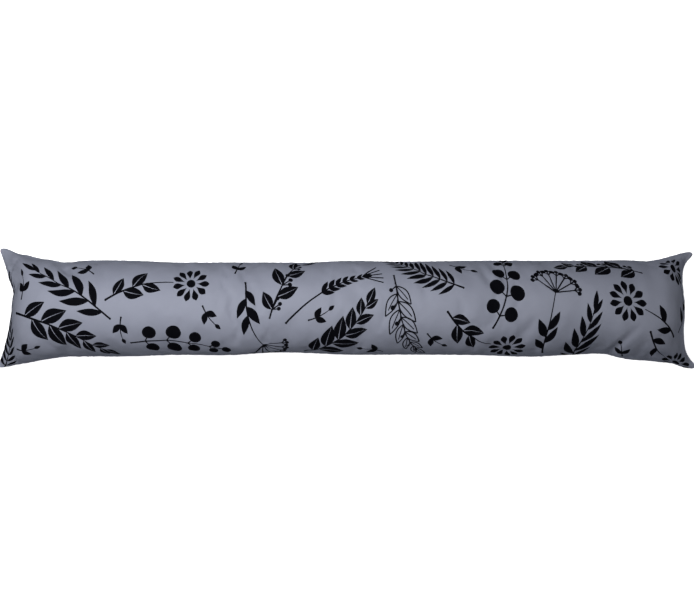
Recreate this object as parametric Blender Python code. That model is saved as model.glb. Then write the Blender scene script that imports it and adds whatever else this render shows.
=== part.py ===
"""Draught excluder: a long filled fabric cushion that lies along the foot of a door.

It lies on its back with its printed face up. X runs along the cushion, Y across it and Z up
from the surface that it rests on, all in metres, with the origin under the middle of its box.
Two panels are sewn face to face round all four sides, turned and filled. The filling pulls the
long sides in between the corners, which stand out as four thin ears.
"""

import math

import bpy
import numpy as np

# Driving dimensions.
LENGTH = 0.900
THICKNESS = 0.098
SEAM_HEIGHT = 0.046
EAR_DROOP = 0.007
SEAM_LIP = 0.0014

# The underside would reach this far below the floor if it were still round, and the floor
# flattens it, with a soft bend round the flat.
FLOOR_SINK = 0.010
FLOOR_BEND = 0.005

# How far the panels take to rise from the end seams and how blunt that rise is, and how thin
# the filling leaves an ear.
END_DOME = 0.054
END_BLUNTNESS = 2.3
EAR_THINNING = 0.50
EAR_REACH = 0.030

# Slow waves of the filling, as (wavelength along, wave across, height, phase).
FILLING_WAVES = (
    (0.310, 0.9, 0.0016, 0.4),
    (0.173, 1.7, 0.0012, 2.1),
    (0.097, 2.6, 0.0008, 4.6),
)

# Small puckers that the sewing pulls in along the side seams.
PUCKER_PITCH = 0.031
PUCKER_DRIFT = 0.147
PUCKER_HEIGHT = 0.0010

# The side seams seen from above: distance from the left tips, and from the cushion's axis.
SEAM_COLUMNS = ("along", "upper", "lower")
SIDE_SEAMS = (
    (0.000, 0.0773, 0.0766),
    (0.013, 0.0752, 0.0742),
    (0.031, 0.0708, 0.0708),
    (0.055, 0.0643, 0.0669),
    (0.086, 0.0593, 0.0618),
    (0.105, 0.0615, 0.0615),
    (0.164, 0.0617, 0.0620),
    (0.226, 0.0592, 0.0594),
    (0.304, 0.0590, 0.0594),
    (0.351, 0.0591, 0.0566),
    (0.397, 0.0591, 0.0580),
    (0.444, 0.0613, 0.0592),
    (0.522, 0.0604, 0.0592),
    (0.616, 0.0616, 0.0606),
    (0.693, 0.0617, 0.0618),
    (0.745, 0.0615, 0.0593),
    (0.787, 0.0618, 0.0594),
    (0.806, 0.0627, 0.0632),
    (0.850, 0.0648, 0.0688),
    (0.880, 0.0700, 0.0734),
    (0.900, 0.0736, 0.0773),
)

# The end seams seen from above: how far each tip stands in from the end of the box, how deep
# the seam bows in between its tips, and how square that bow is.
END_COLUMNS = ("upper_tip", "lower_tip", "bow", "squareness")
LEFT_END = (0.0026, 0.0000, 0.0168, 1.5)
RIGHT_END = (0.0039, 0.0000, 0.0112, 6.0)

# Folds: the middle of each, the way it runs in degrees, the half length and half width in which
# it fades out, and its depth (below zero is a ridge).
FOLD_COLUMNS = ("x", "y", "turn", "reach", "width", "depth")
EAR_FOLDS = (
    (-0.424, 0.060, 145, 0.022, 0.0085, -0.0026),
    (-0.404, 0.061, 158, 0.024, 0.0070, 0.0018),
    (-0.430, 0.044, 120, 0.017, 0.0075, 0.0022),
    (-0.424, -0.061, 215, 0.022, 0.0085, -0.0026),
    (-0.432, -0.034, 238, 0.016, 0.0075, 0.0018),
    (0.424, 0.060, 28, 0.020, 0.0065, -0.0022),
    (0.418, 0.058, 2, 0.017, 0.0050, 0.0022),
    (0.424, -0.060, -36, 0.022, 0.0085, -0.0026),
    (0.430, -0.034, -58, 0.015, 0.0075, 0.0018),
)
FACE_FOLDS = (
    (-0.428, 0.022, 62, 0.016, 0.0090, 0.0030),
    (-0.366, 0.054, -48, 0.019, 0.0085, 0.0026),
    (-0.345, 0.050, 38, 0.015, 0.0070, 0.0016),
    (-0.321, 0.053, -74, 0.015, 0.0080, 0.0017),
    (-0.362, -0.056, 42, 0.018, 0.0080, 0.0024),
    (-0.212, 0.056, -82, 0.013, 0.0090, 0.0011),
    (-0.139, 0.056, -50, 0.016, 0.0080, 0.0020),
    (-0.119, 0.052, -56, 0.018, 0.0085, 0.0021),
    (-0.074, -0.026, 66, 0.024, 0.0140, 0.0022),
    (-0.038, 0.002, 85, 0.014, 0.0070, 0.0007),
    (0.018, 0.010, -64, 0.017, 0.0115, 0.0023),
    (0.030, -0.022, -76, 0.020, 0.0110, 0.0025),
    (0.118, 0.050, 80, 0.014, 0.0110, 0.0014),
    (0.172, 0.050, -58, 0.021, 0.0090, 0.0026),
    (0.190, 0.050, -54, 0.015, 0.0070, 0.0016),
    (0.192, -0.049, 20, 0.022, 0.0120, 0.0022),
    (0.225, -0.036, 54, 0.021, 0.0100, 0.0028),
    (0.342, -0.055, 40, 0.020, 0.0085, 0.0028),
)
BACK_FOLDS = (
    (-0.362, 0.055, -46, 0.018, 0.0080, 0.0024),
    (-0.286, 0.052, -60, 0.017, 0.0080, 0.0020),
    (-0.182, -0.054, 52, 0.017, 0.0080, 0.0020),
    (0.064, 0.053, -66, 0.016, 0.0085, 0.0020),
    (0.254, -0.052, 48, 0.018, 0.0080, 0.0022),
    (0.350, 0.055, 46, 0.018, 0.0080, 0.0024),
)

# The grid of points: close rows beside the seams, and even ones between.
END_ROWS = (0.0, 0.0025, 0.0065, 0.0125, 0.0200, 0.0285, 0.0375)
EVEN_ROWS_ALONG = 110
EDGE_ROW_ACROSS = 0.035
EVEN_ROWS_ACROSS = 16

# Finish of the cloth: linear colour, roughness, and no metal.
CLOTH_COLOUR = (0.214, 0.227, 0.283, 1.0)
CLOTH_ROUGHNESS = 0.62


def clear_scene():
    """Remove whatever the file holds before the model is made."""
    for item in list(bpy.data.objects):
        bpy.data.objects.remove(item)


def smooth_curve(position, stations, values):
    """Read a curve through the stations, with slopes taken from their neighbours."""
    stations, values = np.asarray(stations), np.asarray(values)
    slopes = np.gradient(values, stations)
    place = np.clip(position, stations[0], stations[-1])
    row = np.clip(np.searchsorted(stations, place, side="right") - 1, 0, len(stations) - 2)
    step = stations[row + 1] - stations[row]
    t = (place - stations[row]) / step
    from_left = (1 + 2 * t) * (1 - t) ** 2 * values[row] + t * (1 - t) ** 2 * step * slopes[row]
    from_right = t * t * (3 - 2 * t) * values[row + 1] - t * t * (1 - t) * step * slopes[row + 1]
    return from_left + from_right


def end_line(end, across):
    """How far in from the end of the box the end seam lies, at each place across (-1 to 1)."""
    shape = dict(zip(END_COLUMNS, end))
    tips = shape["lower_tip"] + (shape["upper_tip"] - shape["lower_tip"]) * (across + 1) / 2
    return tips + shape["bow"] * (1 - np.abs(across) ** shape["squareness"])


def rows_along():
    """Places along the cushion, 0 to 1, from the left end seam to the right one."""
    near = np.array(END_ROWS) / LENGTH
    body = np.linspace(near[-1], 1 - near[-1], EVEN_ROWS_ALONG + 1)
    return np.concatenate([near[:-1], body, (1 - near[:-1])[::-1]])


def rows_across():
    """Places across a panel, -1 to 1, from the lower side seam to the upper one."""
    inner = np.linspace(-1 + EDGE_ROW_ACROSS, 1 - EDGE_ROW_ACROSS, EVEN_ROWS_ACROSS + 1)
    return np.concatenate([[-1.0], inner, [1.0]])


def plan_grid(along, across):
    """Where each point lies seen from above, and how far the panel has risen from the ends.

    The turned edge of the two panels stands out from the swell as a thin lip.
    """
    s, t = np.meshgrid(along, across, indexing="ij")
    left, right = end_line(LEFT_END, t), LENGTH - end_line(RIGHT_END, t)
    x = left + SEAM_LIP + s * (right - left - 2 * SEAM_LIP)
    near_end = np.clip(np.minimum(x - left, right - x) - SEAM_LIP, 0, END_DOME) / END_DOME
    rise = (1 - (1 - near_end) ** END_BLUNTNESS) ** (1 / END_BLUNTNESS)
    columns = dict(zip(SEAM_COLUMNS, zip(*SIDE_SEAMS)))
    upper = smooth_curve(x, columns["along"], columns["upper"]) - SEAM_LIP
    lower = smooth_curve(x, columns["along"], columns["lower"]) - SEAM_LIP
    width = t + (np.sin(t * math.pi / 2) - t) * rise
    y = (upper - lower) / 2 + (upper + lower) / 2 * width
    x += SEAM_LIP * ((s == 1).astype(float) - (s == 0))
    y += SEAM_LIP * ((t == 1).astype(float) - (t == -1))
    return x - LENGTH / 2, y, t, rise


def ear_closeness(x, y):
    """1 at the tip of an ear, falling to 0 in the body of the cushion."""
    tip = np.hypot(LENGTH / 2 - np.abs(x), SIDE_SEAMS[0][1] - np.abs(y))
    return np.exp(-((tip / EAR_REACH) ** 2))


def filling(x, t):
    """The uneven swell of the filling under the cloth."""
    swell = np.zeros_like(x)
    for wavelength, across, height, phase in FILLING_WAVES:
        swell += height * np.sin(2 * math.pi * x / wavelength + across * t + phase)
    return swell


def puckers(x, t, phase):
    """Short waves beside the side seams, which die out at the seam and up the panel."""
    drift = 1.6 * np.sin(2 * math.pi * x / PUCKER_DRIFT + phase)
    wave = np.sin(2 * math.pi * x / PUCKER_PITCH + drift + np.sign(t) * phase)
    beside_seam = np.exp(-(((np.abs(t) - 0.82) / 0.13) ** 2)) * (1 - np.abs(t) ** 12)
    return PUCKER_HEIGHT * wave * beside_seam


def fold_relief(x, y, folds):
    """Height that the folds add: each is a soft trough with raised shoulders."""
    relief = np.zeros_like(x)
    for row in folds:
        fold = dict(zip(FOLD_COLUMNS, row))
        turn = math.radians(fold["turn"])
        dx, dy = x - fold["x"], y - fold["y"]
        along = (dx * math.cos(turn) + dy * math.sin(turn)) / fold["reach"]
        off = (dy * math.cos(turn) - dx * math.sin(turn)) / fold["width"]
        relief -= fold["depth"] * (1 - 0.5 * off**2) * np.exp(-(off**2) / 2 - along**2)
    return relief


def outward(points, side):
    """Unit vectors out of a panel, from the grid's own directions."""
    along, across = np.gradient(points, axis=0), np.gradient(points, axis=1)
    normal = np.cross(along, across) * side
    return normal / np.maximum(np.linalg.norm(normal, axis=2, keepdims=True), 1e-12)


def flatten(height):
    """Keep the underside on the floor, with a soft bend where it lifts off."""
    bend = np.clip((height + FLOOR_BEND) / (2 * FLOOR_BEND), 0, 1)
    return np.where(height > FLOOR_BEND, height, FLOOR_BEND * bend**2)


def panel(along, across, side):
    """The points of the face (side 1) or the back (side -1), seams included."""
    x, y, t, rise = plan_grid(along, across)
    ear = ear_closeness(x, y)
    seam = SEAM_HEIGHT - EAR_DROOP * ear
    crown = THICKNESS - SEAM_HEIGHT if side > 0 else SEAM_HEIGHT + FLOOR_SINK
    swell = crown * np.cos(t * math.pi / 2) * rise * (1 - EAR_THINNING * ear)
    points = np.stack([x, y, seam + side * swell], axis=2)
    folds = EAR_FOLDS + (FACE_FOLDS if side > 0 else BACK_FOLDS)
    off_seam = (1 - np.abs(t) ** 8) * np.clip(rise * 2.5, 0, 1)
    lift = fold_relief(x, y, folds) + puckers(x, t, side * 0.9) + filling(x, t) * rise * side
    points += outward(points, side) * (lift * off_seam)[..., None]
    if side < 0:
        points[..., 2] = flatten(points[..., 2])
    return points


def centre_plan(points):
    """Bring the middle of the box over the origin, at the stated length, on the floor."""
    low, high = points.min(axis=0), points.max(axis=0)
    points[:, :2] -= (low[:2] + high[:2]) / 2
    points[:, 0] *= LENGTH / (high[0] - low[0])
    points[:, 2] -= low[2]


def cushion_mesh():
    """Join the face and the back along their seams into one closed surface."""
    along, across = rows_along(), rows_across()
    rows, columns = len(along), len(across)
    face, back = panel(along, across, 1), panel(along, across, -1)
    inner = np.zeros((rows, columns), bool)
    inner[1:-1, 1:-1] = True
    face_number = np.arange(rows * columns).reshape(rows, columns)
    back_number = face_number.copy()
    back_number[inner] = rows * columns + np.arange(inner.sum())
    points = np.concatenate([face.reshape(-1, 3), back[inner]])
    centre_plan(points)
    quads = []
    for numbers, turn in ((face_number, 1), (back_number, -1)):
        loop = (numbers[:-1, :-1], numbers[1:, :-1], numbers[1:, 1:], numbers[:-1, 1:])
        quads += np.stack(loop, axis=2).reshape(-1, 4)[:, ::turn].tolist()
    mesh = bpy.data.meshes.new("cushion")
    mesh.from_pydata(points.tolist(), [], quads)
    mesh.shade_smooth()
    return mesh


def cloth_material():
    """Grey cover cloth."""
    material = bpy.data.materials.new("cover_cloth")
    material.use_nodes = True
    shader = material.node_tree.nodes["Principled BSDF"]
    shader.inputs["Base Color"].default_value = CLOTH_COLOUR
    shader.inputs["Roughness"].default_value = CLOTH_ROUGHNESS
    shader.inputs["Metallic"].default_value = 0.0
    material.diffuse_color = CLOTH_COLOUR
    return material


def main():
    clear_scene()
    mesh = cushion_mesh()
    mesh.materials.append(cloth_material())
    cushion = bpy.data.objects.new("cushion", mesh)
    bpy.context.scene.collection.objects.link(cushion)


main()
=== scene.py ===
"""Draught excluder: the looks of a long filled cushion that lies along the foot of a door.

Two flat panels are cut, the front one printed with leaf sprigs, sewn face to face, turned and
filled. The cover is blown up over its flat pattern by a cloth simulation, then gets its folds,
seam rolls and print. Metres, X along the cushion, Y across it, Z up from the floor.
"""

import math

import bpy
import numpy as np
from bpy.props import FloatProperty, FloatVectorProperty, PointerProperty
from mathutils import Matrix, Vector
from mathutils.geometry import delaunay_2d_cdt
from mathutils.kdtree import KDTree


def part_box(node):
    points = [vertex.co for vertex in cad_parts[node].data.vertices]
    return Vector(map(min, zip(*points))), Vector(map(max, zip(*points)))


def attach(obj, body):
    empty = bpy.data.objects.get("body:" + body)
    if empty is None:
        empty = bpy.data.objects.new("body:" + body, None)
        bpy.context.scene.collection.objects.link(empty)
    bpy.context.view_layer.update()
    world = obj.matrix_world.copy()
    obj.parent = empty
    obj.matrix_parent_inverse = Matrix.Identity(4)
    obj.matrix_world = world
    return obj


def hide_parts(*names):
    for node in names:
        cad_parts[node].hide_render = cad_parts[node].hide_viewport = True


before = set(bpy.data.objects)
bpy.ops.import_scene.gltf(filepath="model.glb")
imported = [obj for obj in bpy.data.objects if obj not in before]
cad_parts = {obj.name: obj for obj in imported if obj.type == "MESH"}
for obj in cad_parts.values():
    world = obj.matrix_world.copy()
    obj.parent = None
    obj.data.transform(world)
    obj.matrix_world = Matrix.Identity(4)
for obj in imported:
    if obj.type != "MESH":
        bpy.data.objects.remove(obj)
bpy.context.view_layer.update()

bl_info = {
    "name": "Draught excluder",
    "version": (1, 0, 0),
    "blender": (4, 5, 0),
    "location": "3D View > Sidebar > Excluder",
    "description": "Makes a filled draught excluder with a leaf print, its seams and a plain stage",
    "category": "Add Mesh",
}

LOW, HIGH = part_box("cushion")
LENGTH = HIGH[0] - LOW[0]

# The cut of a panel inside its seams, laid flat.
PANEL_LENGTH = 0.926
PANEL_WIDTH = 0.172

# Shape of the filled cover before the cloth settles.
THICKNESS = 0.103
SEAM_HEIGHT = 0.039
EAR_DROOP = 0.006
EAR_THINNING = 0.50
EAR_REACH = 0.030
END_DOME = 0.052
END_BLUNTNESS = 2.4
FLOOR_SINK = 0.010
FLOOR_BEND = 0.005

# Slow waves of the filling, as (wavelength along, wave across, height, phase).
FILLING_WAVES = (
    (0.310, 0.9, 0.0016, 0.4),
    (0.173, 1.7, 0.0012, 2.1),
    (0.097, 2.6, 0.0008, 4.6),
)

# The side seams seen from above: distance from the left tips, and from the cushion's axis.
SEAM_COLUMNS = ("along", "upper", "lower")
SIDE_SEAMS = (
    (0.000, 0.0784, 0.0779),
    (0.008, 0.0771, 0.0765),
    (0.012, 0.0751, 0.0755),
    (0.020, 0.0712, 0.0735),
    (0.036, 0.0682, 0.0708),
    (0.048, 0.0648, 0.0684),
    (0.066, 0.0620, 0.0655),
    (0.086, 0.0588, 0.0630),
    (0.105, 0.0608, 0.0627),
    (0.164, 0.0614, 0.0626),
    (0.226, 0.0590, 0.0606),
    (0.304, 0.0588, 0.0605),
    (0.351, 0.0587, 0.0574),
    (0.397, 0.0586, 0.0580),
    (0.444, 0.0606, 0.0600),
    (0.522, 0.0599, 0.0602),
    (0.616, 0.0611, 0.0607),
    (0.693, 0.0611, 0.0628),
    (0.745, 0.0612, 0.0604),
    (0.787, 0.0615, 0.0600),
    (0.806, 0.0619, 0.0648),
    (0.848, 0.0615, 0.0690),
    (0.858, 0.0637, 0.0702),
    (0.874, 0.0679, 0.0722),
    (0.888, 0.0720, 0.0772),
    (0.894, 0.0733, 0.0785),
    (0.900, 0.0737, 0.0795),
)

# The end seams seen from above: how far each tip stands in from the end of the box, how deep
# the seam bows in between its tips, where across it is deepest (-1 to 1), and how square the
# bow is above and below that place.
END_COLUMNS = ("upper_tip", "lower_tip", "bow", "deepest", "above", "below")
LEFT_END = (-0.0016, -0.0045, 0.0200, 0.30, 1.0, 2.1)
RIGHT_END = (0.0000, -0.0038, 0.0158, 0.08, 6.0, 6.0)

# The share of half an end seam that runs straight across at each tip.
TIP_SHARES = (0.05, 0.08)

# Folds: the middle of each, the way it runs in degrees, the half length and half width in which
# it fades out, and its depth (below zero is a ridge).
FOLD_COLUMNS = ("x", "y", "turn", "reach", "width", "depth")
EAR_FOLDS = (
    (-0.424, 0.060, 145, 0.022, 0.0085, -0.0026),
    (-0.404, 0.061, 158, 0.024, 0.0070, 0.0008),
    (-0.430, 0.044, 120, 0.017, 0.0075, 0.0010),
    (-0.424, -0.061, 215, 0.022, 0.0085, -0.0026),
    (-0.432, -0.034, 238, 0.016, 0.0075, 0.0018),
    (0.424, 0.060, 28, 0.020, 0.0065, -0.0022),
    (0.420, 0.0625, 12, 0.022, 0.0038, 0.0030),
    (0.424, -0.060, -36, 0.022, 0.0085, -0.0026),
    (0.430, -0.034, -58, 0.015, 0.0075, 0.0018),
    (0.404, -0.062, -14, 0.018, 0.0042, 0.0022),
)
FACE_FOLDS = (
    (-0.428, 0.026, 66, 0.014, 0.0055, 0.0026),
    (-0.366, 0.054, -42, 0.021, 0.0052, 0.0026),
    (-0.356, 0.048, -24, 0.018, 0.0045, 0.0014),
    (-0.321, 0.053, -78, 0.014, 0.0060, 0.0017),
    (-0.362, -0.056, 42, 0.018, 0.0062, 0.0024),
    (-0.212, 0.056, -82, 0.013, 0.0090, 0.0011),
    (-0.139, 0.056, -50, 0.016, 0.0080, 0.0020),
    (-0.119, 0.052, -56, 0.018, 0.0085, 0.0021),
    (-0.074, -0.026, 66, 0.024, 0.0140, 0.0022),
    (-0.038, 0.002, 85, 0.014, 0.0070, 0.0007),
    (0.018, 0.010, -64, 0.018, 0.0115, 0.0029),
    (0.030, -0.022, -76, 0.021, 0.0110, 0.0030),
    (0.118, 0.050, 80, 0.014, 0.0110, 0.0014),
    (0.178, 0.042, -55, 0.024, 0.0060, 0.0022),
    (0.190, 0.050, -48, 0.016, 0.0050, 0.0016),
    (0.192, -0.049, 20, 0.022, 0.0100, 0.0022),
    (0.228, -0.031, 53, 0.020, 0.0072, 0.0026),
    (0.350, -0.046, 46, 0.024, 0.0048, 0.0022),
)
BACK_FOLDS = (
    (-0.362, 0.055, -46, 0.018, 0.0080, 0.0024),
    (-0.286, 0.052, -60, 0.017, 0.0080, 0.0020),
    (-0.182, -0.054, 52, 0.017, 0.0080, 0.0020),
    (0.064, 0.053, -66, 0.016, 0.0085, 0.0020),
    (0.254, -0.052, 48, 0.018, 0.0080, 0.0022),
    (0.350, 0.055, 46, 0.018, 0.0080, 0.0024),
)

# The cloth simulation. Spare cloth is the share by which the cut is longer than the filled
# shape: a little everywhere, more beside the side seams, most round the ends.
SIM_CELL = 0.0045
SIM_FRAMES = 24
START_SWELL = 0.93
START_NOISE = 0.0001
NOISE_SEED = 5
SPARE_CLOTH = 0.008
SPARE_AT_ENDS = 0.06
SIDE_SEAM_SHARE = 0.45
END_REACH = 0.045
SIDE_REACH = 0.020

# The finished mesh: distance between points on each panel, and the close rows beside the seams.
FACE_CELL = 0.0023
BACK_CELL = 0.0032
SEAM_ROWS = (0.0006, 0.0013, 0.0022, 0.0036, 0.0054)
FIRST_EVEN_ROW = 0.8
PRINT_CLEARANCE = 0.0007
CUT_ACCURACY = 1e-6
CORNER_RADIUS = 0.0060
CORNER_STEPS = 7

# Section of a turned seam: distance from the stitching, and how far the cloth stands out.
ROLL_SECTION = (
    (0.0000, -0.0008),
    (0.0006, 0.0001),
    (0.0013, 0.0006),
    (0.0022, 0.0005),
    (0.0036, 0.0001),
    (0.0054, 0.0000),
)

# The seam stitches that show in the groove, and the edge stitching that closes the right end:
# pitch, length and width of a stitch, how far it runs along and across the seam.
STITCH_COLUMNS = ("pitch", "length", "width", "along", "across")
SEAM_STITCHES = (0.0032, 0.0020, 0.00034, 0.45, 1.0)
SEAM_THREAD_OUT = 0.0003
GRAIN_SIDES, GRAIN_RINGS = 6, 5
CLOSING_STITCHES = (0.0038, 0.0029, 0.00050, 1.0, 0.0)
CLOSING_LINE = 0.0036
CLOSING_DENT = 0.0007
CLOSING_SPREAD = 0.0011
STITCH_MARGIN = 0.016
STITCH_SLOPE = 0.004

# Puckers that the stitching pulls into the cloth, as (wavelength, height, reach from the seam).
PUCKERS = (
    (0.0130, 0.00040, 0.012),
    (0.0071, 0.00022, 0.007),
)
PUCKER_DRIFT = 0.043
PUCKER_START = 0.0015

# Uneven filling felt through the cloth: how many waves, their lengths and their height.
LUMPS = 36
LUMP_LENGTHS = (0.022, 0.075)
LUMP_HEIGHT = 0.00036
LUMP_SEED = 11

# How far from the seams folds and lumps come to their full height.
RELIEF_START = 0.006

# Leaf print. Each kind of sprig: its leaf, how many pairs and whether they are opposite, the
# length and width of a leaf, how far it splays in degrees, the width of the stem, where along
# the stem the leaves start and stop, how many berries sit beside every second leaf, and its top.
KIND_COLUMNS = (
    "leaf", "pairs", "opposite", "length", "width", "splay", "stem", "start", "stop", "bunch", "top",
)
KINDS = {
    "laurel": ("veined", 5, 0, 0.0350, 0.0176, 52, 0.0026, 0.12, 0.94, 0, "leaf"),
    "olive": ("line", 5, 0, 0.0330, 0.0130, 44, 0.0022, 0.14, 0.94, 1, "leaf"),
    "fern": ("solid", 12, 1, 0.0300, 0.0064, 62, 0.0023, 0.10, 0.96, 0, "leaf"),
    "gum": ("disc", 4, 1, 0.0240, 0.0200, 64, 0.0023, 0.16, 0.88, 0, "leaf"),
    "wheat": ("solid", 6, 1, 0.0190, 0.0068, 42, 0.0025, 0.50, 0.94, 0, "awns"),
    "willow": ("solid", 5, 0, 0.0390, 0.0100, 40, 0.0022, 0.10, 0.94, 0, "leaf"),
    "berry": ("veined", 3, 0, 0.0310, 0.0162, 54, 0.0022, 0.10, 0.88, 3, "leaf"),
    "umbel": ("solid", 2, 0, 0.0280, 0.0104, 38, 0.0024, 0.12, 0.46, 0, "umbel"),
    "daisy": ("veined", 2, 0, 0.0290, 0.0152, 44, 0.0025, 0.12, 0.54, 0, "daisy"),
    "aster": ("solid", 1, 0, 0.0230, 0.0088, 46, 0.0022, 0.20, 0.46, 0, "daisy"),
    "bud": ("solid", 1, 1, 0.0152, 0.0080, 50, 0.0019, 0.30, 0.30, 0, "leaf"),
}

# The order in which sprigs are dropped on the cloth: kind, length of the stem, its curl in
# degrees, and how many. Each goes where it clears the ones before; the last ones fill the gaps.
DROP_COLUMNS = ("kind", "reach", "curl", "count")
DROPS = (
    ("laurel", 0.124, -19, 1),
    ("fern", 0.124, 10, 1),
    ("daisy", 0.086, -18, 1),
    ("gum", 0.112, -14, 1),
    ("willow", 0.118, 9, 1),
    ("umbel", 0.090, 16, 1),
    ("berry", 0.104, -15, 1),
    ("wheat", 0.114, -20, 1),
    ("laurel", 0.112, 18, 1),
    ("olive", 0.106, 20, 1),
    ("fern", 0.112, -12, 1),
    ("daisy", 0.078, 20, 1),
    ("gum", 0.098, 12, 1),
    ("umbel", 0.084, -16, 1),
    ("willow", 0.104, -8, 1),
    ("berry", 0.092, 14, 1),
    ("aster", 0.056, 14, 4),
    ("bud", 0.028, 12, 11),
)
DROP_SEED = 1
DROP_TRIES = 900
DROP_GAP = 0.0044
DROP_INSIDE = 0.84
DROP_MARGIN = 0.025
SLOT_REACH = (-1.5, 2.5)

# Leaves: points along one, where its fullest place comes (more than 1 is nearer its tip), how
# far it bends, half the width of a bare midrib, and a round leaf's stalk, middle and half length.
LEAF_POINTS = 13
LEAF_FULLEST, PETAL_FULLEST = 0.85, 1.7
LEAF_BEND = 0.10
MIDRIB = 0.00050
MIDRIB_POINTS = 10
ROUND_POINTS = 28
ROUND_STALK, ROUND_MIDDLE, ROUND_HALF = 0.35, 0.68, 0.40
PEN_WIDTH = 0.0016
MIDRIB_PEN = 0.8

# Stems: points along one, how thin it ends, where its leaves are largest, how much the leaves
# shrink towards its top and its foot, and how far they close up.
STEM_STEPS = 24
STEM_TAPER = 0.55
STEM_FOOT = 0.62
LARGEST_AT = 0.35
TOP_SHRINK, FOOT_SHRINK = 0.50, 0.25
CLOSING_UP = 0.35

# Berries beside a leaf: how they spread, the length of their stalks, and their size.
BERRY_SPREAD = (0.25, 0.5)
BERRY_STALK = (0.0100, 0.0040)
BERRY_SIZE = (0.0026, 0.0004)

# Tops: the share of a full leaf and its overlap on the stem, the awns of an ear, an umbel's rays
# and a daisy's petals.
TOP_LEAF = 0.62
TOP_OVERLAP = 0.0012
EAR_GRAIN = 0.8
AWN_SPLAYS = (-0.5, -0.25, 0.0, 0.25, 0.5)
AWN_REACH = (0.004, 0.027)
UMBEL_RAYS = 7
UMBEL_SPREAD = 1.15
UMBEL_REACH = 0.024
UMBEL_FAN = (-0.75, 0.0, 0.75)
UMBEL_STALK = 0.0068
UMBEL_BERRY = 0.0026
DAISY_REACH = 0.022
DAISY_HEART = 0.0056
DAISY_PETALS = 11
PETAL_START, PETAL_LENGTH, PETAL_WIDTH = 0.0068, 0.0165, 0.0078

# How far the yarns stray from straight.
YARN_SWAY = 0.0006

# The stage: half the floor, the camera above the seam, and the width that the picture shows.
FLOOR_HALF = 60.0
FLOOR_BELOW = 0.0003
CAMERA_DISTANCE = 3.0
PICTURE_WIDTH = 0.9013

# Soft lights that hang over the cushion: name, which power, size, place, and what each aims at.
LIGHT_COLUMNS = ("name", "power", "size", "place", "target")
LIGHTS = (
    ("soft_key", "key_power", 0.6, (-0.25, 0.17, 1.0), (-0.20, 0.0, 0.05)),
    ("left_end_light", "end_power", 0.3, (-1.0, 0.0, 0.28), (-0.42, 0.0, 0.05)),
    ("right_end_light", "end_power", 0.3, (1.0, 0.0, 0.28), (0.42, 0.0, 0.05)),
)
TABLE_LIGHT = (2.4, 1.6)
TABLE_LIGHT_COLOUR = (0.88, 0.95, 1.15)
TABLE_LIGHT_HEIGHT = -0.02

# Where each panel lies on the piece's map, in metres of cloth.
FACE_ON_MAP = (0.03, 0.05)
BACK_ON_MAP = (0.03, 0.28)


def smooth_curve(position, stations, values):
    """Read a curve through the stations, with slopes taken from their neighbours."""
    stations, values = np.asarray(stations), np.asarray(values)
    slopes = np.gradient(values, stations)
    place = np.clip(position, stations[0], stations[-1])
    row = np.clip(np.searchsorted(stations, place, side="right") - 1, 0, len(stations) - 2)
    step = stations[row + 1] - stations[row]
    t = (place - stations[row]) / step
    from_left = (1 + 2 * t) * (1 - t) ** 2 * values[row] + t * (1 - t) ** 2 * step * slopes[row]
    from_right = t * t * (3 - 2 * t) * values[row + 1] - t * t * (1 - t) * step * slopes[row + 1]
    return from_left + from_right


def side_lines(x):
    """How far the upper and the lower side seam lie from the axis, at x from the left tips."""
    columns = dict(zip(SEAM_COLUMNS, zip(*SIDE_SEAMS)))
    return [smooth_curve(x, columns["along"], columns[name]) for name in ("upper", "lower")]


def end_line(end, tip, across):
    """How far in from the end of the box the end seam lies, at each place across (-1 to 1)."""
    shape = dict(zip(END_COLUMNS, end))
    tips = shape["lower_tip"] + (shape["upper_tip"] - shape["lower_tip"]) * (across + 1) / 2
    off = across - shape["deepest"]
    above = np.clip(off / (1 - tip - shape["deepest"]), 0, 1)
    below = np.clip(-off / (1 - tip + shape["deepest"]), 0, 1)
    return tips + shape["bow"] * (1 - above ** shape["above"] - below ** shape["below"])


def end_rise(near_end):
    """How far a panel has risen, 0 to 1, at a distance from its end seam."""
    k = np.clip(near_end, 0, END_DOME) / END_DOME
    return (1 - (1 - k) ** END_BLUNTNESS) ** (1 / END_BLUNTNESS)


def pulled_in(s):
    """Where the cloth at s along the panel's middle lies along the cushion, both 0 to 1.

    The cloth that climbs the domed ends is used up in height, so it moves on less.
    """
    x = np.linspace(0, 1, 400)
    height = (THICKNESS - SEAM_HEIGHT) * end_rise(np.minimum(x, 1 - x) * LENGTH)
    length = np.concatenate([[0], np.cumsum(np.hypot(np.diff(x) * LENGTH, np.diff(height)))])
    return np.interp(s, length / length[-1], x)


def ear_closeness(x, y):
    """1 at the tip of an ear, falling to 0 in the body of the cushion."""
    tip = np.hypot(LENGTH / 2 - np.abs(x), SIDE_SEAMS[0][1] - np.abs(y))
    return np.exp(-((tip / EAR_REACH) ** 2))


def filling(x, t):
    """The uneven swell of the filling under the cloth."""
    swell = np.zeros_like(x)
    for wavelength, across, height, phase in FILLING_WAVES:
        swell += height * np.sin(2 * math.pi * x / wavelength + across * t + phase)
    return swell


def outward(points, side):
    """Unit vectors out of a panel, from the grid's own directions."""
    along, across = np.gradient(points, axis=0), np.gradient(points, axis=1)
    normal = np.cross(along, across) * side
    return normal / np.maximum(np.linalg.norm(normal, axis=2, keepdims=True), 1e-12)


def flatten(height):
    """Keep the underside on the floor, with a soft bend where it lifts off."""
    bend = np.clip((height + FLOOR_BEND) / (2 * FLOOR_BEND), 0, 1)
    return np.where(height > FLOOR_BEND, height, FLOOR_BEND * bend**2)


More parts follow.
